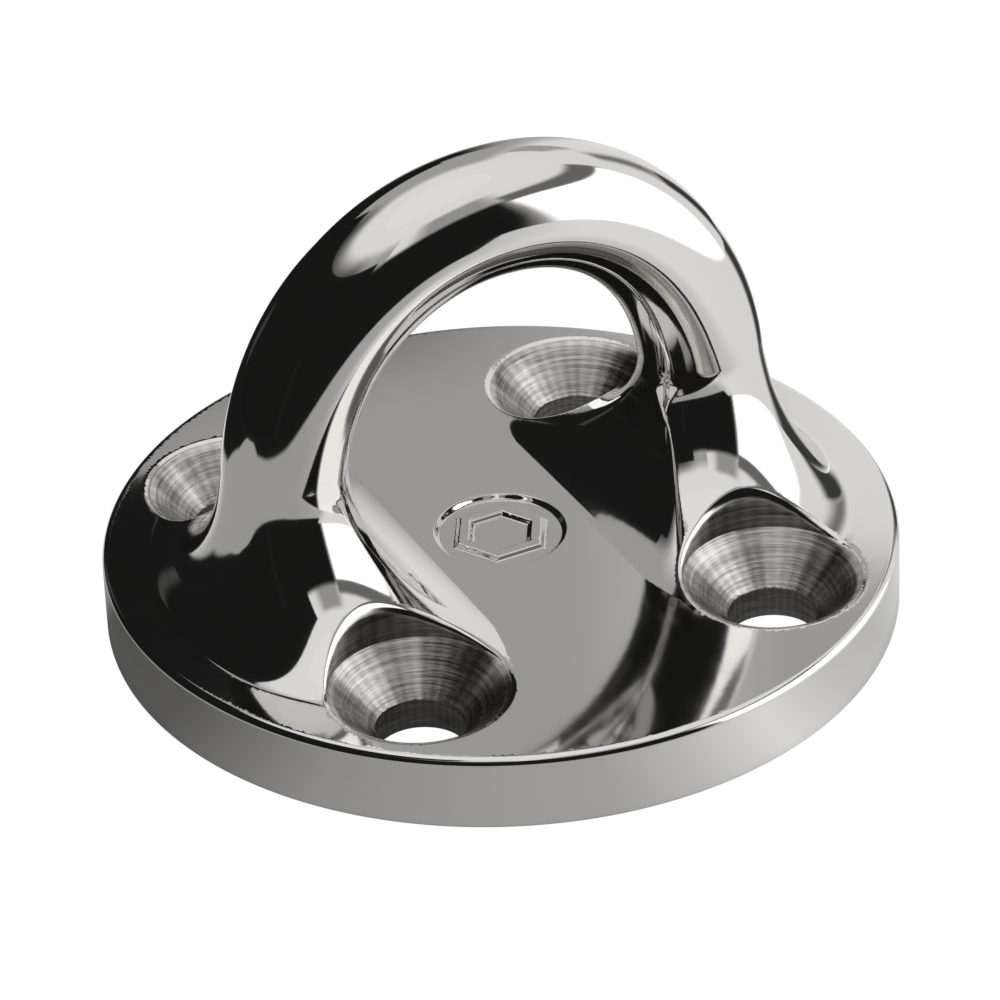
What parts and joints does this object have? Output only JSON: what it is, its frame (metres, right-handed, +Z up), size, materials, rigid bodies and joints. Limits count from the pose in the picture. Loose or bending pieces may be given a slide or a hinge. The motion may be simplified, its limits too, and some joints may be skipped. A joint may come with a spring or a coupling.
{
  "type": "pad eye",
  "caption": "Round-base pad eye: a polished round plate with countersunk screw holes and a thick fixed bow on flared feet that forms the eye.",
  "frame": {"origin": "centre of the base plate's underside, the face that lies on the deck", "axes": "+Z up out of the deck, +X across the two feet in the plane of the bow, +Y through the eye"},
  "size_m": [0.06, 0.06, 0.0381],
  "materials": {
    "polished_stainless": "mirror-polished 316 stainless steel; countersinks left as turned"
  },
  "bodies": {
    "root": {"base_plate": "polished_stainless", "left_foot": "polished_stainless", "right_foot": "polished_stainless", "bow": "polished_stainless"}
  },
  "joints": []
}
